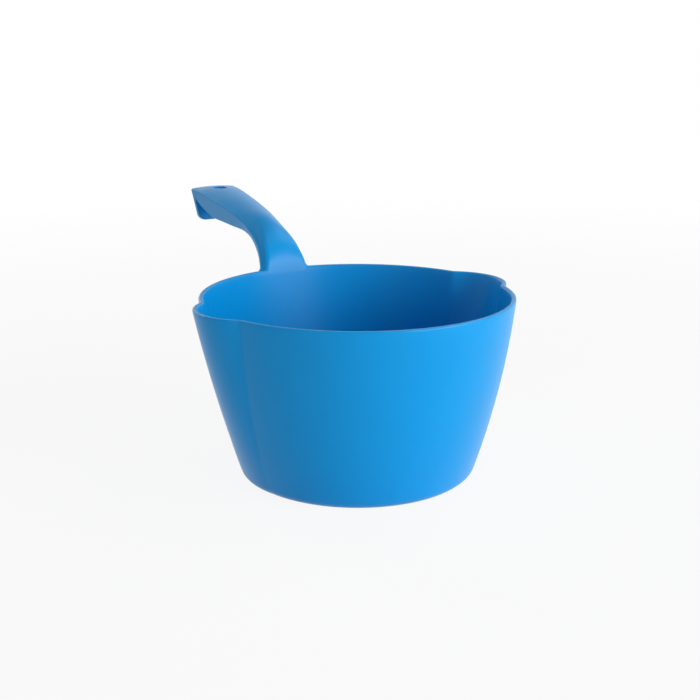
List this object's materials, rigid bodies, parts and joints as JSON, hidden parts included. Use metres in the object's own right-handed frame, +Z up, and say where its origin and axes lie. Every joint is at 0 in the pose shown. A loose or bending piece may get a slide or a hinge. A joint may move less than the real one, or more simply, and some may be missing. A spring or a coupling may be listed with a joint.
{
  "type": "feed scoop",
  "caption": "Round feed scoop with a tapered bowl, two pouring lips and a goose-neck channel handle with a hang hole.",
  "frame": {"origin": "centre of the bowl's underside", "axes": "+Z up out of the bowl, +Y along the handle away from the bowl, +X and -X through the two pouring lips"},
  "size_m": [0.2084, 0.3014, 0.1536],
  "materials": {
    "moulded_plastic": "satin"
  },
  "bodies": {
    "root": {"bowl_floor": "moulded_plastic", "bowl_wall_front": "moulded_plastic", "bowl_wall_back": "moulded_plastic", "pouring_lip_left": "moulded_plastic", "pouring_lip_right": "moulded_plastic", "handle_neck": "moulded_plastic", "handle_grip": "moulded_plastic", "handle_end": "moulded_plastic"}
  },
  "joints": []
}
